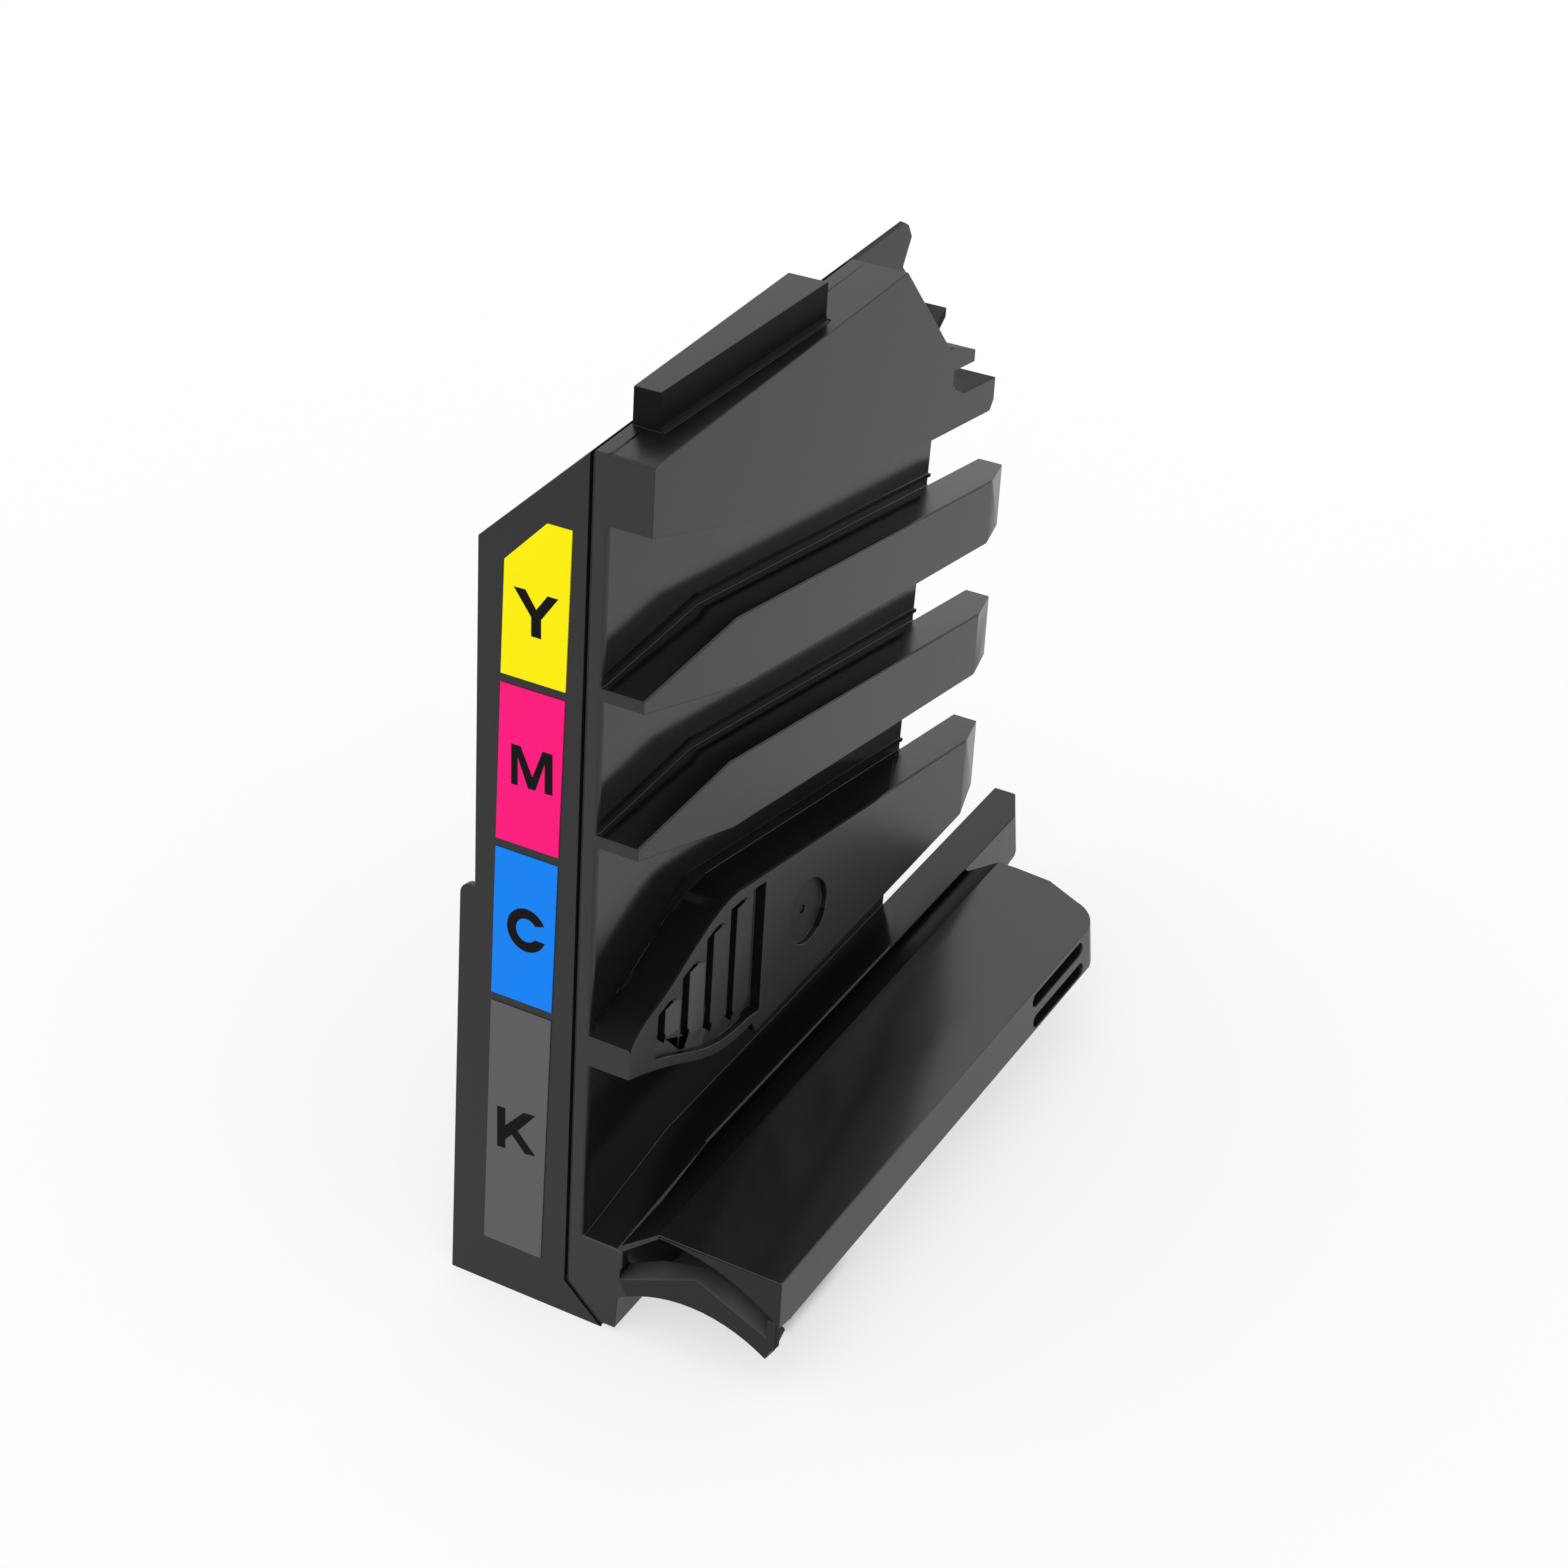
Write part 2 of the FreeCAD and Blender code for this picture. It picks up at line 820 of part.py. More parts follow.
def rib_section(y, width):
    """Cross outline of the top rib, upright with a small cove at its right foot."""
    left = pan_width + rib_offset
    corner = left + width
    foot = top_line(y)
    turn = rib_cove * (1 - math.sqrt(0.5))
    points = [
        leaning(corner + rib_cove, y, foot),
        leaning(corner + rib_cove, y, foot - 1),
        leaning(left, y, foot - 1),
        leaning(left, y, foot + rib_height),
        leaning(corner, y, foot + rib_height),
        leaning(corner, y, foot + rib_cove),
    ]
    edges = [Part.LineSegment(a, b).toShape() for a, b in zip(points, points[1:])]
    edges.append(Part.Arc(points[-1], leaning(corner + turn, y, foot + turn), points[0]).toShape())
    return Part.Wire(edges)


def top_rib():
    """Tall rib on the block that widens a little to the rear."""
    sections = [rib_section(rib_front, rib_width), rib_section(rib_front + rib_length, rib_rear_width)]
    return Part.makeLoft(sections, True, True)


def floor_rail():
    """Level rail along the foot and the lower body under it."""
    lip = leaning(0, 0, floor_lip)
    tip_low = body_gap + tip_rise
    outline = [
        (lip.y, lip.z),
        (floor_crest_y, floor_crest),
        (floor_reach, floor_height),
        (floor_reach - (floor_height - tip_low) * math.tan(math.radians(tip_lean)), tip_low),
        (foot_length + 5, body_gap),
        (0, body_gap),
    ]
    slab = side_prism(level, outline, pan_width, floor_face).common(behind_face(0))
    slope = (foot_width - pan_width) / foot_bevel_height
    section = [
        (foot_width - body_gap * slope, body_gap),
        (body_right, body_gap),
        (floor_face, floor_height),
        (floor_face, far),
        (pan_width, far),
        (pan_width, foot_bevel_height),
    ]
    rail = slab.common(front_prism(level, section, -1, far))
    rear = foot_length + 5
    trim = side_prism(level, [(rear, -1), (rear, far), (far, far), (far, -1)], 0, plate_face)
    tip = plate_face + floor_tip_width
    slant = [
        (floor_face + 1, floor_shoulder),
        (floor_face, floor_shoulder),
        (tip, floor_reach),
        (tip, floor_reach + 1),
        (floor_face + 1, floor_reach + 1),
    ]
    rail = rail.cut(trim).cut(plan_prism(level, slant, -1, far))
    return rail


def tray_plan(inset, low, high):
    """Plan of the side tray with its rounded rear corner, carried from low to high."""
    right = tray_right - inset
    corner_x = tray_corner_x - 0.7 * inset
    corner_y = tray_corner_y - 0.9 * inset
    bend = Vector(right, tray_side_end - 0.3 * inset, low)
    middle = Vector(right - 1.6, (bend.y + corner_y) / 2 + 0.2, low)
    points = [
        Vector(corner_x, corner_y, low),
        Vector(corner_x - tray_corner_run, tray_rear - tray_corner_fall - inset, low),
        Vector(corner_x - 2 * tray_corner_run, tray_rear - inset, low),
        Vector(floor_face - 0.5, tray_rear - inset, low),
        Vector(floor_face - 0.5, -1, low),
        Vector(right, -1, low),
        bend,
    ]
    edges = [Part.Arc(bend, middle, points[0]).toShape()]
    edges += [Part.LineSegment(a, b).toShape() for a, b in zip(points, points[1:])]
    return Part.Face(Part.Wire(edges)).extrude(Vector(0, 0, high - low))


def tray_section(inset):
    """Front outline of the tray: a sloping band up from the floor rail, then the flat top."""
    band_end = floor_face + band_width
    left = floor_face - 1
    start = floor_height - 1.6
    return [
        (left, tray_bottom - 1),
        (left, start - inset),
        (band_end, tray_top - inset),
        (tray_right + 1, tray_top - inset),
        (tray_right + 1, tray_bottom - 1),
    ]


def behind_face(offset):
    """Everything further back than the leaning front face."""
    return front_prism(leaning, [(-far, -far), (far, -far), (far, far), (-far, far)], offset, far)


def side_tray():
    outer = tray_plan(0, tray_bottom, tray_top + 1)
    outer = outer.common(front_prism(level, tray_section(0), -2, far)).common(behind_face(0))
    inner = tray_plan(tray_wall, tray_bottom - 1, tray_top + 1)
    inner = inner.common(front_prism(level, tray_section(tray_wall), -2, far)).common(behind_face(tray_wall))
    tray = outer.cut(inner)
    spacing = (tray_rear - tray_wall) / (tray_rib_count + 1)
    for number in range(tray_rib_count):
        y = spacing * (number + 1)
        rib = Part.makeBox(
            tray_right - floor_face - tray_wall + 0.5,
            tray_rib_thickness,
            tray_top - tray_bottom - tray_rib_gap,
            Vector(floor_face - 0.5, y, tray_bottom + tray_rib_gap),
        )
        tray = tray.fuse(rib.common(front_prism(level, tray_section(tray_wall / 2), -2, far)))
    for low in slot_levels:
        tray = tray.cut(tray_slot(low))
    return tray.cut(front_arch())


def tray_slot(low):
    """Long slot with round ends through the tray's outer wall."""
    radius = slot_height / 2
    depth = 3 * tray_wall
    start = Vector(tray_right - 1.5 * tray_wall, slot_start + radius, low + radius)
    run = Vector(0, slot_length - slot_height, 0)
    body = Part.makeBox(depth, run.y, slot_height, start - Vector(0, 0, radius))
    ends = [Part.makeCylinder(radius, depth, place, Vector(1, 0, 0)) for place in (start, start + run)]
    return body.fuse(ends[0]).fuse(ends[1])


def front_arch():
    """Finger opening: a large arc cut out of the tray's front wall, and the room left of it."""
    depth = 2 * tray_wall
    top = (tray_top - 0.7) / cos_lean
    axis = leaning(arch_start_x, -depth, top - arch_radius)
    cylinder = Part.makeCylinder(arch_radius, 2 * depth, axis, leaning(0, 1, 0))
    right = tray_right + 5
    keep = front_prism(
        leaning,
        [(arch_start_x, 0), (right, 0), (right, top + 1), (arch_start_x, top + 1)],
        -depth,
        depth,
    )
    start, band = tray_section(band_edge)[1:3]
    foot = start[0] + 1
    left = front_prism(
        leaning,
        [(foot, 0), (arch_start_x, 0), (arch_start_x, band[1] / cos_lean), (foot, start[1] / cos_lean)],
        -depth,
        tray_wall + 0.5,
    )
    return cylinder.common(keep).fuse(left)


def bar_outline(y, ends, crown):
    """Outline of the pull bar at distance y behind the face, from its top edge's heights."""
    left = floor_face - bar_root
    right = tray_right - bar_end_gap
    low_left = leaning(left, y, bar_low_end - 0.6)
    low_right = leaning(right - 2, y, bar_low_end)
    low = Part.Arc(low_left, leaning(bar_crown_x, y, bar_low_crown), low_right)
    middle = (ends + crown) / 2
    round_up = (crown - ends) * bar_back_round if y else 0
    points = [
        low_right,
        leaning(right, y, ends),
        leaning((right + bar_crown_x) / 2, y, middle + round_up),
        leaning(bar_crown_x, y, crown),
        leaning((left + bar_crown_x) / 2, y, middle + round_up),
        leaning(left, y, ends),
        low_left,
    ]
    edges = [low.toShape()] + [Part.LineSegment(a, b).toShape() for a, b in zip(points, points[1:])]
    return Part.Wire(edges)


def pull_bar():
    """Arched bar that fingers pull on, from the body to the tray's outer corner."""
    front = bar_outline(0, bar_fold_end, bar_fold_crown)
    back = bar_outline(bar_depth, bar_back_end, bar_back_crown)
    bar = Part.makeLoft([front, back], True, True)
    end = tray_right - bar_end_gap
    root = end - tray_wall
    low = bar_low_end + 1
    high = tray_bottom + tray_wall
    lug = front_prism(leaning, [(root, low), (end, low + 2), (end, high), (root, high)], 0, lug_reach)
    return bar.fuse(lug)


def rail_housing():
    pieces = [guide_rail(1), guide_rail(2), panel_rail()]
    pieces += [bead(number) for number in range(3)]
    pieces += [top_block(), floor_rail(), side_tray(), pull_bar()]
    body = closing_plate().multiFuse(pieces)
    body = body.cut(foot_room())
    body = body.cut(block_pocket())
    body = body.cut(rail_pocket(1)).cut(rail_pocket(2))
    body = body.cut(panel_pocket()).cut(floor_pocket())
    return body.cut(weld_groove()).removeSplitter()


def label(number):
    """Sticker on the front face; the top one has cut corners."""
    low = label_foot + sum(label_heights[:number]) + label_gap * number
    high = low + label_heights[number]

    def left(z):
        return label_left + z * math.tan(math.radians(label_left_lean))

    def right(z):
        return label_right + z * math.tan(math.radians(label_right_lean))

    outline = [(left(low), low), (right(low), low), (right(high), high)]
    if number == len(label_heights) - 1:
        outline += [(right(high) - label_peak, high), (left(high), high - label_shoulder)]
    else:
        outline.append((left(high), high))
    return front_prism(leaning, outline, -label_thickness, 0)


nodes = {
    "reservoir_shell": pan_shell(),
    "rail_housing": rail_housing(),
    "inlet_seal": inlet_seal(),
}
for number, colour in enumerate(("black", "cyan", "magenta", "yellow")):
    nodes["label_" + colour] = label(number)

everything = Part.makeCompound(list(nodes.values())).BoundBox
origin = Vector(everything.Center.x, everything.Center.y, everything.ZMin)

os.makedirs("parts", exist_ok=True)
for name, shape in nodes.items():
    shape.translate(-origin)
    shape.exportStep(os.path.join("parts", name + ".step"))
    box = shape.BoundBox
    print(name, shape.isValid(), len(shape.Solids), round(shape.Volume, 1),
          [round(v, 2) for v in (box.XMin, box.YMin, box.ZMin, box.XMax, box.YMax, box.ZMax)])
print("origin", [round(v, 3) for v in origin])
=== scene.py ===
import math

import bmesh
import bpy
from mathutils import Matrix, Vector


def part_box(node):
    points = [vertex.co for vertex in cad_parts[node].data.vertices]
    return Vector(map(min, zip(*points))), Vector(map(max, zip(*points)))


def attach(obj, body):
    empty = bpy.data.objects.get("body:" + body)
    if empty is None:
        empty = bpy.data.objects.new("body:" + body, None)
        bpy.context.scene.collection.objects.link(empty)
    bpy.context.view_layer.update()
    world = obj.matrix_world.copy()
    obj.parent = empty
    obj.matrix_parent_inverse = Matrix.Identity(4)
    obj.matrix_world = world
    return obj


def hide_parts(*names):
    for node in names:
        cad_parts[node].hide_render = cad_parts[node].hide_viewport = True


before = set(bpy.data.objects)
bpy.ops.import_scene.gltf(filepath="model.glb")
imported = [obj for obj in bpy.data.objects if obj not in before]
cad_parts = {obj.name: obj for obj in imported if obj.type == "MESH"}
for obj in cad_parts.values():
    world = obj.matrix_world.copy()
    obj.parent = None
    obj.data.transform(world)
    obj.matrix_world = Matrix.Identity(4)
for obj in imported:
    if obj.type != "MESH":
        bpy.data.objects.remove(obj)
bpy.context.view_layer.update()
bpy.ops.object.select_all(action="DESELECT")

# Studio: a pale seamless floor under an even white light tent, with the camera at the right front,
# a little above the part. The floor and the tent are not part of the object. Under the front of the
# tray it has a painted shadow, a soft dark patch with its glow off, for the shade the part casts.
bpy.ops.mesh.primitive_plane_add(size=6.0, location=(0, 0, 0))
studio_floor = bpy.context.object
studio_floor.name = "studio_floor"
floor_paper = bpy.data.materials.new("floor_paper")
floor_paper.use_nodes = True
paper_nodes = floor_paper.node_tree.nodes
paper_links = floor_paper.node_tree.links
paper = paper_nodes["Principled BSDF"]
paper.inputs["Roughness"].default_value = 0.9
paper.inputs["Specular IOR Level"].default_value = 0.0
paper.inputs["Emission Color"].default_value = (1, 1, 1, 1)
paper_place = paper_nodes.new("ShaderNodeTexCoord")
paper_sides = paper_nodes.new("ShaderNodeSeparateXYZ")
paper_links.new(paper_place.outputs["Object"], paper_sides.inputs["Vector"])
painted_shadow_sides = (
    # axis, and where along it the painted shadow starts and where it is full
    ("Y", -0.0652, -0.0628),
    ("Y", -0.036, -0.052),
    ("X", 0.031, 0.025),
    ("X", -0.030, -0.008),
)
painted_shadow = None
for axis, start, end in painted_shadow_sides:
    side = paper_nodes.new("ShaderNodeMapRange")
    side.interpolation_type = "SMOOTHSTEP"
    side.inputs["From Min"].default_value = start
    side.inputs["From Max"].default_value = end
    paper_links.new(paper_sides.outputs[axis], side.inputs["Value"])
    if painted_shadow is None:
        painted_shadow = side.outputs["Result"]
        continue
    both = paper_nodes.new("ShaderNodeMath")
    both.operation = "MULTIPLY"
    paper_links.new(painted_shadow, both.inputs[0])
    paper_links.new(side.outputs["Result"], both.inputs[1])
    painted_shadow = both.outputs["Value"]
# Where the painted shadow is full, the floor's glow is off and its tone drops from 0.36 to 0.11.
paper_glow = paper_nodes.new("ShaderNodeMapRange")
paper_glow.inputs["To Min"].default_value = 0.64
paper_glow.inputs["To Max"].default_value = 0.0
paper_and_painted_shadow_tone = paper_nodes.new("ShaderNodeMix")
paper_and_painted_shadow_tone.data_type = "RGBA"
paper_and_painted_shadow_tone.inputs["A"].default_value = (0.36, 0.36, 0.36, 1)
paper_and_painted_shadow_tone.inputs["B"].default_value = (0.11, 0.11, 0.11, 1)
paper_links.new(painted_shadow, paper_glow.inputs["Value"])
paper_links.new(paper_glow.outputs["Result"], paper.inputs["Emission Strength"])
paper_links.new(painted_shadow, paper_and_painted_shadow_tone.inputs["Factor"])
paper_links.new(paper_and_painted_shadow_tone.outputs["Result"], paper.inputs["Base Color"])
studio_floor.data.materials.append(floor_paper)

tent = bpy.data.worlds.new("light_tent")
tent.use_nodes = True
tent.node_tree.nodes["Background"].inputs["Color"].default_value = (1, 1, 1, 1)
tent.node_tree.nodes["Background"].inputs["Strength"].default_value = 1.0
bpy.context.scene.world = tent
bpy.context.scene.view_settings.view_transform = "Standard"

# The camera's axes were solved from the photograph in the frame of the leaning front face.
face_lean = math.radians(12.3)
turn = math.radians(30.7148)
tilt = math.radians(25.345)
roll = math.radians(-3.43275)
ahead = Vector((-math.sin(turn) * math.cos(tilt), math.cos(turn) * math.cos(tilt), -math.sin(tilt)))
level_right = Vector((math.cos(turn), math.sin(turn), 0))
level_down = ahead.cross(level_right)
picture_right = math.cos(roll) * level_right + math.sin(roll) * level_down
picture_down = -math.sin(roll) * level_right + math.cos(roll) * level_down
lean_back = Matrix.Rotation(-face_lean, 3, "X")
camera_axes = Matrix([lean_back @ picture_right, lean_back @ -picture_down, lean_back @ -ahead]).transposed()
bpy.ops.object.camera_add(location=(0.2981, -0.4404, 0.4572))
camera = bpy.context.object
camera.name = "camera"
camera.rotation_euler = camera_axes.to_euler()
picture_width = 1568
focal_length = 3470.216
camera.data.sensor_width = 36.0
camera.data.lens = focal_length / picture_width * camera.data.sensor_width
camera.data.clip_start = 0.01
camera.data.clip_end = 20.0
bpy.context.scene.camera = camera

# Pan: a deep box moulded in black plastic, its weld face to the right. The skin is the fine
# spark-eroded satin of the mould, a little uneven in gloss, and it reflects the white tent.
moulded_grain = bpy.data.node_groups.new("moulded_grain", "ShaderNodeTree")
for name in ("Fineness", "Haze scale"):
    moulded_grain.interface.new_socket(name=name, in_out="INPUT", socket_type="NodeSocketFloat")
for name in ("Grain", "Haze"):
    moulded_grain.interface.new_socket(name=name, in_out="OUTPUT", socket_type="NodeSocketFloat")
grain_in = moulded_grain.nodes.new("NodeGroupInput")
grain_out = moulded_grain.nodes.new("NodeGroupOutput")
grain_place = moulded_grain.nodes.new("ShaderNodeTexCoord")
fine = moulded_grain.nodes.new("ShaderNodeTexNoise")
fine.inputs["Detail"].default_value = 3.0
fine.inputs["Roughness"].default_value = 0.6
cloud = moulded_grain.nodes.new("ShaderNodeTexNoise")
cloud.inputs["Detail"].default_value = 4.0
joins = moulded_grain.links
joins.new(grain_place.outputs["Object"], fine.inputs["Vector"])
joins.new(grain_place.outputs["Object"], cloud.inputs["Vector"])
joins.new(grain_in.outputs["Fineness"], fine.inputs["Scale"])
joins.new(grain_in.outputs["Haze scale"], cloud.inputs["Scale"])
joins.new(fine.outputs["Fac"], grain_out.inputs["Grain"])
joins.new(cloud.outputs["Fac"], grain_out.inputs["Haze"])


plastic_fineness = 2600.0
plastic_haze = 30.0
darkest_body = 0.8
palest_body = 1.25


def moulded_plastic(name, colour, gloss_low, gloss_high, sheen, mottle=0.0):
    """Black moulded plastic: dark body, haze in the gloss, and a fine grain. Mottle pales the haze."""
    made = bpy.data.materials.new(name)
    made.use_nodes = True
    nodes = made.node_tree.nodes
    links = made.node_tree.links
    shader = nodes["Principled BSDF"]
    shader.inputs["IOR"].default_value = 1.48
    shader.inputs["Specular IOR Level"].default_value = sheen
    grain = nodes.new("ShaderNodeGroup")
    grain.node_tree = moulded_grain
    grain.inputs["Fineness"].default_value = plastic_fineness
    grain.inputs["Haze scale"].default_value = plastic_haze
    gloss = nodes.new("ShaderNodeMapRange")
    gloss.inputs["To Min"].default_value = gloss_low
    gloss.inputs["To Max"].default_value = gloss_high
    tint = nodes.new("ShaderNodeMix")
    tint.data_type = "RGBA"
    tint.inputs["A"].default_value = (*[channel * darkest_body for channel in colour], 1)
    tint.inputs["B"].default_value = (*[channel * (palest_body + mottle) for channel in colour], 1)
    skin = nodes.new("ShaderNodeBump")
    skin.inputs["Strength"].default_value = 0.12
    skin.inputs["Distance"].default_value = 0.00003
    links.new(grain.outputs["Haze"], gloss.inputs["Value"])
    links.new(gloss.outputs["Result"], shader.inputs["Roughness"])
    links.new(grain.outputs["Haze"], tint.inputs["Factor"])
    links.new(tint.outputs["Result"], shader.inputs["Base Color"])
    links.new(grain.outputs["Grain"], skin.inputs["Height"])
    links.new(skin.outputs["Normal"], shader.inputs["Normal"])
    return made


origin_x = 36.5
origin_y = 79.5


def on_face(x, y, z):
    """Place in metres of a point given in millimetres on the leaning front face."""
    back = y * math.cos(face_lean) + z * math.sin(face_lean)
    up = z * math.cos(face_lean) - y * math.sin(face_lean)
    return ((x - origin_x) / 1000, (back - origin_y) / 1000, up / 1000)


def face_place(point):
    """Millimetres right, behind the leaning front face, and up it, of a point of the model."""
    back = point.y * 1000 + origin_y
    up = point.z * 1000
    return (
        point.x * 1000 + origin_x,
        back * math.cos(face_lean) - up * math.sin(face_lean),
        back * math.sin(face_lean) + up * math.cos(face_lean),
    )


same_place = 1e-6
same_plane = math.radians(0.5)


def joined_mesh(node):
    """Mesh of a CAD node with its flat faces joined up."""
    shape = bmesh.new()
    shape.from_mesh(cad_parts[node].data)
    bmesh.ops.remove_doubles(shape, verts=shape.verts, dist=same_place)
    bmesh.ops.dissolve_limit(shape, angle_limit=same_plane, verts=shape.verts, edges=shape.edges)
    return shape


sharp_edge = math.radians(35)
smooth_edge = math.radians(40)
ease_width = 0.0002
bead_middles = (30.1, 30.5)


def is_bead(face):
    """Whether a face belongs to one of the fine beads on the walls of the bays."""
    return bead_middles[0] < face.calc_center_median().x * 1000 + origin_x < bead_middles[1]


def eased_piece(node, shape):
    """Object from the mesh with its sharp edges eased, kept inside the node's own box."""
    ease_layer = shape.edges.layers.float.new("bevel_weight_edge")
    for edge in shape.edges:
        if len(edge.link_faces) == 2 and edge.calc_face_angle() > sharp_edge:
            if not any(is_bead(face) for face in edge.link_faces):
                edge[ease_layer] = 1.0
    made = bpy.data.objects.new(node + "_moulding", bpy.data.meshes.new(node + "_moulding"))
    bpy.context.scene.collection.objects.link(made)
    shape.to_mesh(made.data)
    shape.free()
    bpy.ops.object.select_all(action="DESELECT")
    bpy.context.view_layer.objects.active = made
    made.select_set(True)
    ease = made.modifiers.new("ease", "BEVEL")
    ease.width = ease_width
    ease.segments = 2
    ease.limit_method = "WEIGHT"
    ease.use_clamp_overlap = False
    ease.miter_outer = "MITER_ARC"
    bpy.ops.object.modifier_apply(modifier="ease")
    low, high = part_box(node)
    for vertex in made.data.vertices:
        vertex.co = [min(max(value, least), most) for value, least, most in zip(vertex.co, low, high)]
    bpy.ops.object.shade_smooth_by_angle(angle=smooth_edge)
    flats = made.modifiers.new("flats", "WEIGHTED_NORMAL")
    flats.keep_sharp = True
    flats.weight = 100
    bpy.ops.object.modifier_apply(modifier="flats")
    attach(made, "root")
    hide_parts(node)
    return made


pan = eased_piece("reservoir_shell", joined_mesh("reservoir_shell"))
pan.data.materials.append(moulded_plastic("pan_satin", (0.0055, 0.0055, 0.0058), 0.26, 0.34, 0.42))

# Rail housing: the one-piece right-hand moulding with plate, rails, block, tray and pull bar, in
# the same plastic and welded to the pan along the groove. Its outer faces are satin, and the walls and
# tracks that the cartridges slide on are polished. Its pockets have a painted shade, its rims a
# painted edge highlight, and further zones have painted light or painted shade.
housing_shape = joined_mesh("rail_housing")
housing_finishes = {
    # name: tone of the plastic, lowest and highest roughness, sheen, mottle
    "housing_satin": (0.0055, 0.26, 0.34, 0.5, 0.0),
    "housing_polished": (0.0072, 0.10, 0.18, 0.5, 0.0),
    # painted shade: a dark copy with almost no sheen, for the rib's sides and front, pockets, hooks, beads
    # and the lowest track
    "housing_painted_shade": (0.0075, 0.35, 0.45, 0.05, 0.0),
    # painted sheen: a paler, glossier copy of the plastic on the tray's top
    "tray_painted_sheen": (0.011, 0.17, 0.23, 0.95, 0.0),
    # painted light: a paler, mottled copy on the upward faces of the pull bar's fold
    "bar_fold_painted_light": (0.028, 0.40, 0.50, 0.4, 0.9),
    # painted shade: a copy with less sheen on the front faces of the tray and bar
    "front_painted_shade": (0.0055, 0.26, 0.34, 0.3, 0.0),
    # painted light: a paler copy of the plastic on the side panel
    "panel_painted_light": (0.024, 0.34, 0.42, 0.38, 0.0),
    # painted edge highlight: a pale strip on the floor rail's side and front edges
    "housing_painted_edge_highlight": (0.07, 0.34, 0.42, 0.2, 0.0),
    # painted highlight: a copy with high sheen on the end of the floor rail
    "housing_painted_highlight": (0.0055, 0.26, 0.34, 0.9, 0.0),
    # painted light: a paler copy of the plastic on the faces of the louvre fins
    "louvre_painted_light": (0.05, 0.34, 0.42, 0.45, 0.0),
}
wall_x = 30.0
rail_side_x = 38.7

# The track on a rail's top ends at the back in a sweep: at each distance x, so much further forward.
# The lowest track has the painted shade; the upper tracks are polished.
tracks = (
    # height up the face, end at the wall, finish
    (78.9, 106.5, "housing_painted_shade"),
    (106.95, 106.5, "housing_polished"),
    (135.0, 109.5, "housing_polished"),
)
track_sweep = ((30.0, 0.0), (32.4, 6.1), (38.2, 17.4), (38.7, 23.5))
ramp_drop = 20.0
top_margin = 3.5
facing_up = 0.3
merge_distance = 1e-7


def sweep_at(x):
    """How far in front of its end at the wall a track stops, at x."""
    for (x0, y0), (x1, y1) in zip(track_sweep, track_sweep[1:]):
        if x <= x1:
            return y0 + (y1 - y0) * (x - x0) / (x1 - x0)
    return track_sweep[-1][1]


def is_rail_top(face, level):
    """Whether a face belongs to the top, or the ramp at its front, of the rail at this level."""
    x, y, z = face_place(face.calc_center_median())
    lean_up = face.normal.y * math.sin(face_lean) + face.normal.z * math.cos(face_lean)
    over_rail = wall_x < x < rail_side_x and level - ramp_drop < z < level + top_margin
    return lean_up > facing_up and over_rail


def cut_faces(faces, place, normal):
    """Cuts only these faces of the housing by a plane. Their parts keep one order in every run."""
    parts = list(faces)
    for face in faces:
        parts += [*face.edges, *face.verts]
    parts = list(dict.fromkeys(parts))
    bmesh.ops.bisect_plane(housing_shape, geom=parts, dist=merge_distance, plane_co=place, plane_no=normal)


for level, end, finish in tracks:
    for (x0, y0), (x1, y1) in zip(track_sweep, track_sweep[1:]):
        tops = [face for face in housing_shape.faces if is_rail_top(face, level)]
        turned_x = y0 - y1
        turned_y = x0 - x1
        normal = Vector((turned_x, turned_y * math.cos(face_lean), -turned_y * math.sin(face_lean)))
        cut_faces(tops, Vector(on_face(x0, end - y0, level)), normal)

# The track on the floor rail ends in a straight slant. Its side edge and front edge have a painted edge
# highlight.
floor_track_end = 117.5
floor_track_run = 17.5
floor_track_width = 8.85
floor_rail_height = 22.5
floor_rail_margin = 0.2
nearly_level = 0.9
slope_end = 17.0
slope_height = 18.0
highlight_front_x = 37.35
highlight_rear_x = 38.35
highlight_y = 0.45
highlight_end = 125.0
highlight_cuts = (
    # place and normal of the cut, and the part of the floor rail that it crosses
    ((highlight_front_x, 0, slope_height), (slope_end, highlight_front_x - highlight_rear_x, 0), (0.0, slope_end)),
    ((wall_x, highlight_y, slope_height), (0, 1, 0), (0.0, slope_end)),
    ((highlight_rear_x, 0, slope_height), (1, 0, 0), (slope_end, highlight_end)),
)


def floor_rail_tops():
    """Faces of the floor rail's top and of the slope at its front."""
    return [
        face for face in housing_shape.faces
        if face.normal.z > nearly_level
        and wall_x < face.calc_center_median().x * 1000 + origin_x < rail_side_x + floor_rail_margin
        and face.calc_center_median().z * 1000 < floor_rail_height
    ]


cut_faces(
    floor_rail_tops(),
    Vector(((wall_x - origin_x) / 1000, (floor_track_end - origin_y) / 1000, 0)),
    Vector((floor_track_run, floor_track_width, 0)),
)
for place, normal, (near, far) in highlight_cuts:
    crossed = [face for face in floor_rail_tops() if near < face_place(face.calc_center_median())[1] < far]
    cut_faces(crossed, Vector(on_face(*place)), Vector(normal))
floor_tops = set(floor_rail_tops())

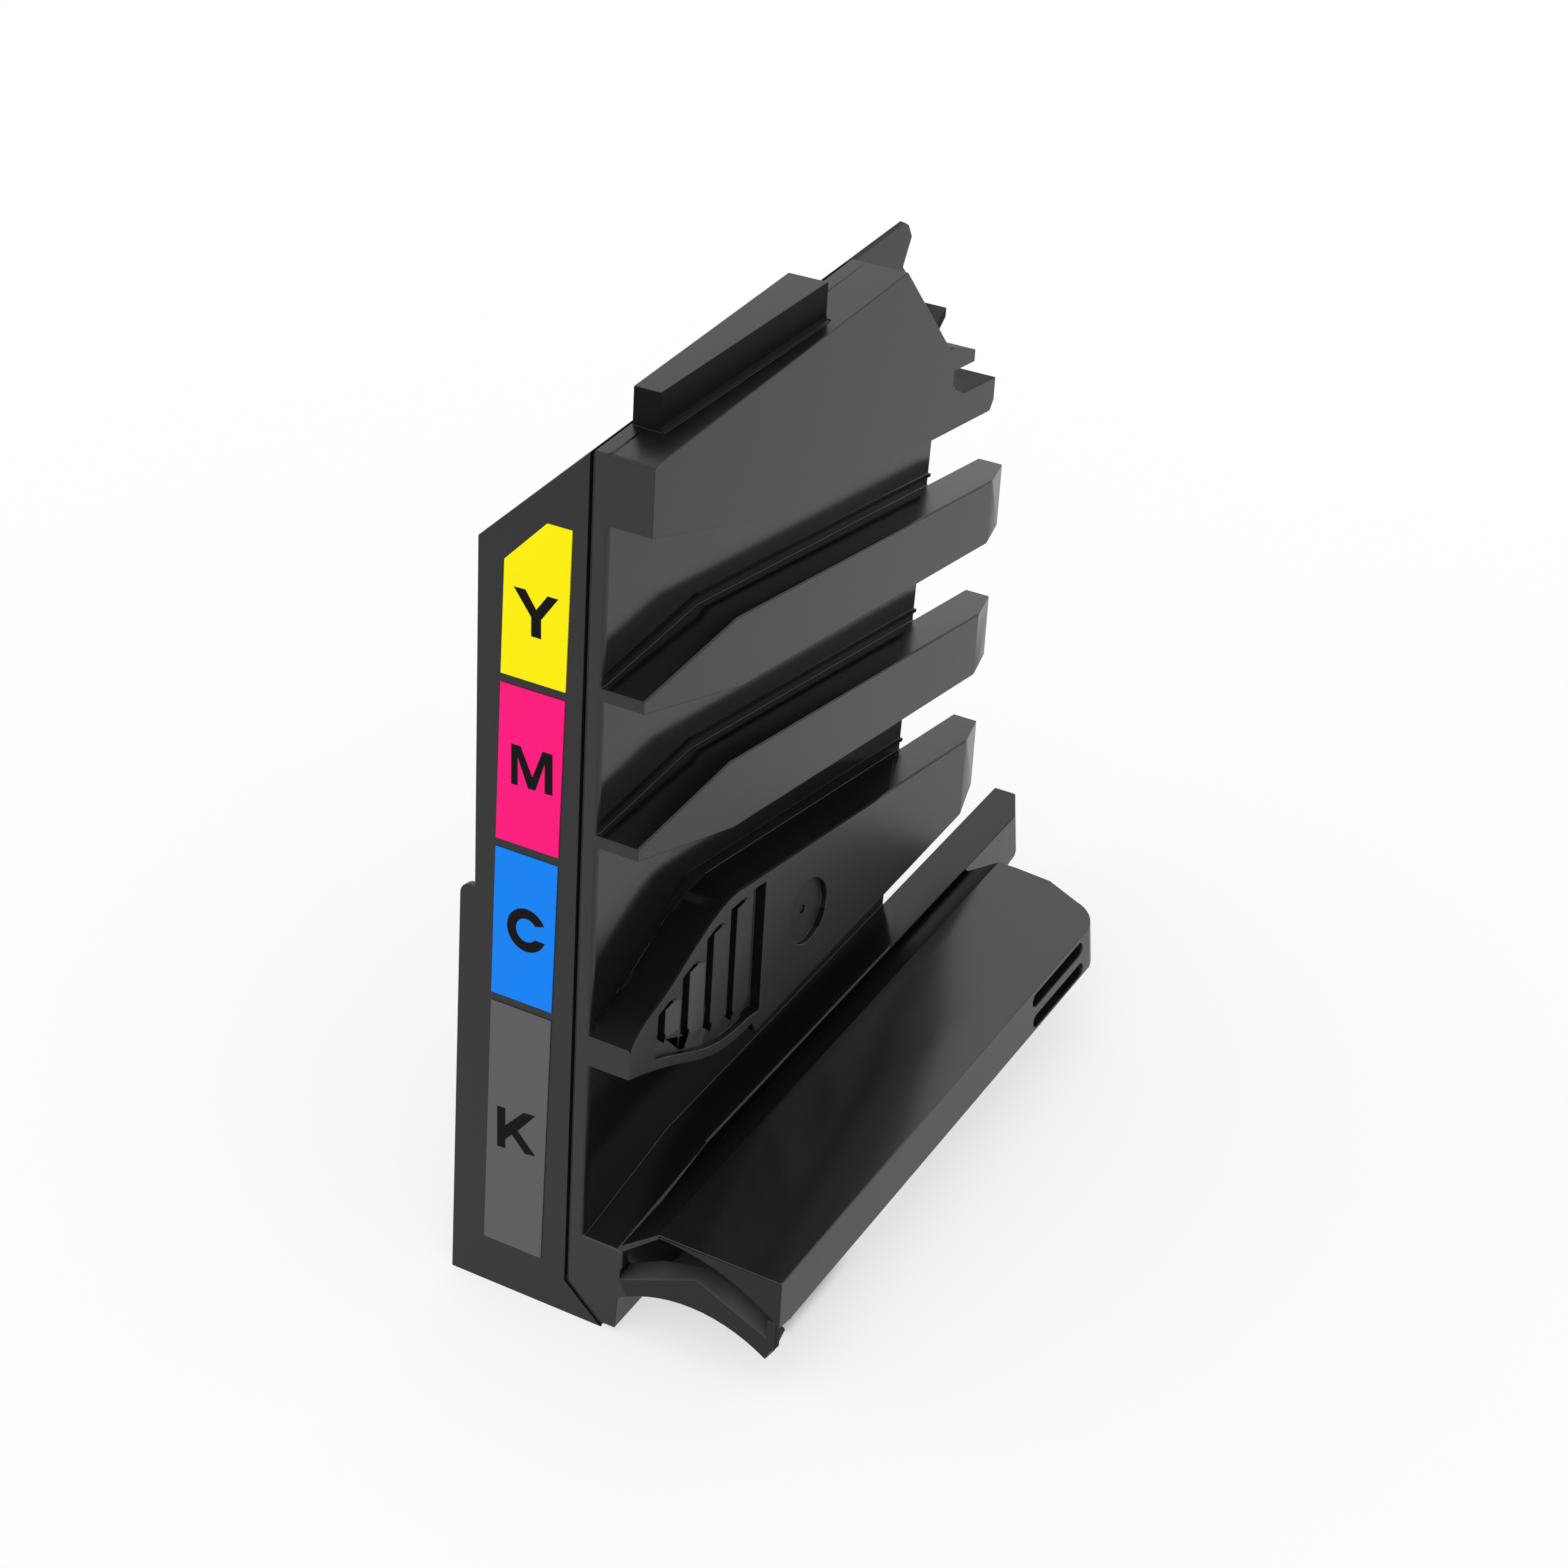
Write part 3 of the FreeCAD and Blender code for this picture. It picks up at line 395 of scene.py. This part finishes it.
# Each zone of the housing has its finish, the limits of the middle of its faces and those of their
# normals. x, y and z are millimetres right, behind the front face and up it, and height is level.
endless = math.inf
bay_walls = {"x": (29.0, 30.6), "y": (0.4, endless), "sideways": (0.9, endless)}
block_rib = {"z": (171.0, endless), "y": (9.0, endless)}
bar_fold = {"x": (38.6, endless), "y": (-endless, 3.6), "height": (-endless, 18.6), "up": (0.5, endless)}
sloping_band = {"x": (38.9, 46.4), "height": (17.0, endless), "right": (-endless, -0.3), "up": (0.5, endless)}
inside_tray_front = {
    "x": (38.9, endless),
    "y": (-endless, 6.0),
    "height": (-endless, 23.6),
    "back": (-0.5, endless),
}
hooks = {"y": (95.0, endless), "z": (150.0, endless), "sideways": (-endless, 0.5)}
tray_top = {"x": (46.0, endless), "height": (22.0, 25.0), "up": (0.95, endless)}
tray_front = {
    "x": (38.9, endless),
    "y": (-endless, 3.0),
    "height": (-endless, 24.0),
    "back": (-endless, -0.9),
}
floor_rail_end = {
    "x": (34.0, 40.0),
    "y": (118.0, endless),
    "height": (-endless, 52.0),
    "right": (0.85, endless),
    "back": (0.25, endless),
}
louvres = {
    "x": (37.0, endless),
    "y": (3.0, 25.0),
    "z": (-endless, 81.0),
    "height": (-endless, 75.0),
    "right": (0.9, endless),
    "back": (-endless, -0.1),
}
panel = {
    "x": (35.0, endless),
    "y": (3.0, endless),
    "z": (-endless, 81.0),
    "height": (30.0, 75.0),
    "right": (0.9, endless),
}
# Painted shade: rib sides and front, sloping band, inside of the tray front, hooks, tray front. Painted
# light: bar fold, tray top, floor rail end, louvres, panel.
housing_zones = (
    (bay_walls, "housing_polished"),
    ({**block_rib, "up": (-endless, 0.9)}, "housing_painted_shade"),
    (block_rib, "housing_satin"),
    (bar_fold, "bar_fold_painted_light"),
    (sloping_band, "housing_painted_shade"),
    (inside_tray_front, "housing_painted_shade"),
    (hooks, "housing_painted_shade"),
    (tray_top, "tray_painted_sheen"),
    (tray_front, "front_painted_shade"),
    (floor_rail_end, "housing_painted_highlight"),
    (louvres, "louvre_painted_light"),
    (panel, "panel_painted_light"),
)
bead_run = (1.0, 112.0)


def floor_rail_finish(x, y, back):
    """Finish of the floor rail's top: a painted edge highlight along its edges, polished on its track, satin
    behind.
    """
    highlight_x = highlight_front_x + (highlight_rear_x - highlight_front_x) * min(y / slope_end, 1.0)
    if x > highlight_x or y < highlight_y:
        return "housing_painted_edge_highlight"
    track_end = floor_track_end - floor_track_run / floor_track_width * (x - wall_x)
    return "housing_polished" if back < track_end else "housing_satin"


def finish_of(face):
    """Name of the finish that a face of the housing has."""
    centre = face.calc_center_median()
    x, y, z = face_place(centre)
    if is_bead(face) and bead_run[0] < y < bead_run[1]:
        return "housing_painted_shade"
    for level, end, finish in tracks:
        if is_rail_top(face, level):
            return "housing_satin" if y > end - sweep_at(x) else finish
    if face in floor_tops:
        return floor_rail_finish(x, y, centre.y * 1000 + origin_y)
    right, back, up = face.normal
    measures = {
        "x": x, "y": y, "z": z, "height": centre.z * 1000,
        "right": right, "back": back, "up": up, "sideways": abs(right),
    }
    for limits, finish in housing_zones:
        if all(low < measures[key] < high for key, (low, high) in limits.items()):
            return finish
    return "housing_satin"


finish_names = list(housing_finishes)
for face in housing_shape.faces:
    face.material_index = finish_names.index(finish_of(face))
housing = eased_piece("rail_housing", housing_shape)
for name, (tone, gloss_low, gloss_high, sheen, mottle) in housing_finishes.items():
    plastic = moulded_plastic(name, (tone, tone, tone), gloss_low, gloss_high, sheen, mottle)
    housing.data.materials.append(plastic)

# The top of the tray reflects like a face that falls to the right, the more so towards the back.
tray_skin = housing.data.materials[finish_names.index("tray_painted_sheen")]
tray_nodes = tray_skin.node_tree.nodes
tray_links = tray_skin.node_tree.links
tray_place = tray_nodes.new("ShaderNodeTexCoord")
tray_sides = tray_nodes.new("ShaderNodeSeparateXYZ")
fall = tray_nodes.new("ShaderNodeMapRange")
fall.inputs["From Min"].default_value = -0.075
fall.inputs["From Max"].default_value = 0.0
fall.inputs["To Min"].default_value = 0.03
fall.inputs["To Max"].default_value = 0.17
fall_side = tray_nodes.new("ShaderNodeCombineXYZ")
crown = tray_nodes.new("ShaderNodeVectorMath")
crown.operation = "ADD"
level_out = tray_nodes.new("ShaderNodeVectorMath")
level_out.operation = "NORMALIZE"
tray_links.new(tray_place.outputs["Object"], tray_sides.inputs["Vector"])
tray_links.new(tray_sides.outputs["Y"], fall.inputs["Value"])
tray_links.new(fall.outputs["Result"], fall_side.inputs["X"])
tray_links.new(tray_nodes["Bump"].outputs["Normal"], crown.inputs[0])
tray_links.new(fall_side.outputs["Vector"], crown.inputs[1])
tray_links.new(crown.outputs["Vector"], level_out.inputs[0])
tray_links.new(level_out.outputs["Vector"], tray_nodes["Principled BSDF"].inputs["Normal"])

# Inlet seal: a ring of open-cell foam, die cut and stuck on the inlet's collar at the back.
foam = bpy.data.materials.new("seal_foam")
foam.use_nodes = True
foam_nodes = foam.node_tree.nodes
foam_links = foam.node_tree.links
foam_shader = foam_nodes["Principled BSDF"]
foam_shader.inputs["Roughness"].default_value = 0.95
foam_shader.inputs["Specular IOR Level"].default_value = 0.15
foam_place = foam_nodes.new("ShaderNodeTexCoord")
cells = foam_nodes.new("ShaderNodeTexVoronoi")
cells.inputs["Scale"].default_value = 1700.0
foam_tint = foam_nodes.new("ShaderNodeValToRGB")
foam_tint.color_ramp.elements[0].color = (0.012, 0.012, 0.013, 1)
foam_tint.color_ramp.elements[1].color = (0.055, 0.055, 0.058, 1)
foam_skin = foam_nodes.new("ShaderNodeBump")
foam_skin.inputs["Distance"].default_value = 0.0003
foam_links.new(foam_place.outputs["Object"], cells.inputs["Vector"])
foam_links.new(cells.outputs["Distance"], foam_tint.inputs["Fac"])
foam_links.new(foam_tint.outputs["Color"], foam_shader.inputs["Base Color"])
foam_links.new(cells.outputs["Distance"], foam_skin.inputs["Height"])
foam_links.new(foam_skin.outputs["Normal"], foam_shader.inputs["Normal"])
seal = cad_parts["inlet_seal"]
seal.data.materials.clear()
seal.data.materials.append(foam)

# Stickers: four printed films on the front face, one for each toner colour. Each has a fine
# unevenness in its ink and a soft sheen from its clear top coat.


film_fineness = 1800.0
film_haze = 120.0
thin_ink = 0.97
thick_ink = 1.02
film_roughness = 0.45


def print_film(name, colour, roughness):
    """Printed film: solid ink with a faint mottle under a satin coat."""
    made = bpy.data.materials.new(name)
    made.use_nodes = True
    nodes = made.node_tree.nodes
    links = made.node_tree.links
    shader = nodes["Principled BSDF"]
    shader.inputs["Roughness"].default_value = roughness
    shader.inputs["Specular IOR Level"].default_value = 0.06
    grain = nodes.new("ShaderNodeGroup")
    grain.node_tree = moulded_grain
    grain.inputs["Fineness"].default_value = film_fineness
    grain.inputs["Haze scale"].default_value = film_haze
    ink = nodes.new("ShaderNodeMix")
    ink.data_type = "RGBA"
    ink.inputs["A"].default_value = (*[channel * thin_ink for channel in colour], 1)
    ink.inputs["B"].default_value = (*[min(channel * thick_ink, 1.0) for channel in colour], 1)
    links.new(grain.outputs["Haze"], ink.inputs["Factor"])
    links.new(ink.outputs["Result"], shader.inputs["Base Color"])
    return made


label_inks = (
    ("label_yellow", (0.99, 0.86, 0.002)),
    ("label_magenta", (0.98, 0.008, 0.21)),
    ("label_cyan", (0.006, 0.225, 0.90)),
    ("label_black", (0.112, 0.112, 0.114)),
)
for node, colour in label_inks:
    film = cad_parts[node]
    film.data.materials.clear()
    film.data.materials.append(print_film(node + "_print", colour, film_roughness))

# Letters: Y, M, C and K in a plain bold sans, printed black on the stickers, 8 mm high.
# They follow the lean of the front face, which their outlines in millimetres are measured on.
letter_roughness = 0.4
letter_ink = print_film("letter_ink", (0.004, 0.004, 0.004), letter_roughness)
film_front = -0.2
ink_lift = 0.03


def printed_letter(name, outline):
    """Thin slab of ink with the given (x, z) outline."""
    count = len(outline)
    front = [on_face(x, film_front - ink_lift, z) for x, z in outline]
    back = [on_face(x, film_front, z) for x, z in outline]
    sides = [(k, (k + 1) % count, count + (k + 1) % count, count + k) for k in range(count)]
    mesh = bpy.data.meshes.new(name)
    caps = [tuple(range(count)), tuple(range(2 * count - 1, count - 1, -1))]
    mesh.from_pydata(front + back, [], caps + sides)
    made = bpy.data.objects.new(name, mesh)
    bpy.context.scene.collection.objects.link(made)
    shape = bmesh.new()
    shape.from_mesh(mesh)
    bmesh.ops.recalc_face_normals(shape, faces=shape.faces)
    shape.to_mesh(mesh)
    shape.free()
    mesh.materials.append(letter_ink)
    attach(made, "root")
    return made


printed_letter("letter_y", [
    (11.10, 142.82), (13.60, 142.90), (15.95, 139.72), (18.25, 142.84), (20.51, 142.83),
    (17.04, 138.10), (17.14, 134.55), (15.02, 134.56), (14.92, 138.11),
])
printed_letter("letter_m", [
    (11.32, 113.16), (13.35, 113.19), (16.03, 107.90), (18.08, 113.50), (20.22, 113.50),
    (20.46, 105.64), (18.76, 105.58), (18.59, 111.21), (16.74, 105.54), (15.15, 105.52),
    (12.78, 110.92), (12.92, 105.43), (11.52, 105.41),
])
printed_letter("letter_k", [
    (9.99, 39.03), (11.86, 39.14), (11.95, 35.53), (15.99, 39.64), (18.64, 39.85), (14.77, 35.30),
    (18.88, 31.33), (16.55, 31.04), (13.46, 34.06), (12.02, 32.52), (12.07, 30.64), (10.19, 30.45),
])
ring_x = 15.6
ring_z = 77.4
ring_steps = 24
ring_sides = (
    # radius, and the angles at which it starts and ends
    (4.3, 26.7, 340.7),
    (2.32, 323.6, 34.6),
)
ring = []
for radius, start, end in ring_sides:
    for step in range(ring_steps + 1):
        angle = math.radians(start + (end - start) * step / ring_steps)
        ring.append((ring_x + radius * math.cos(angle), ring_z + radius * math.sin(angle)))
printed_letter("letter_c", ring)
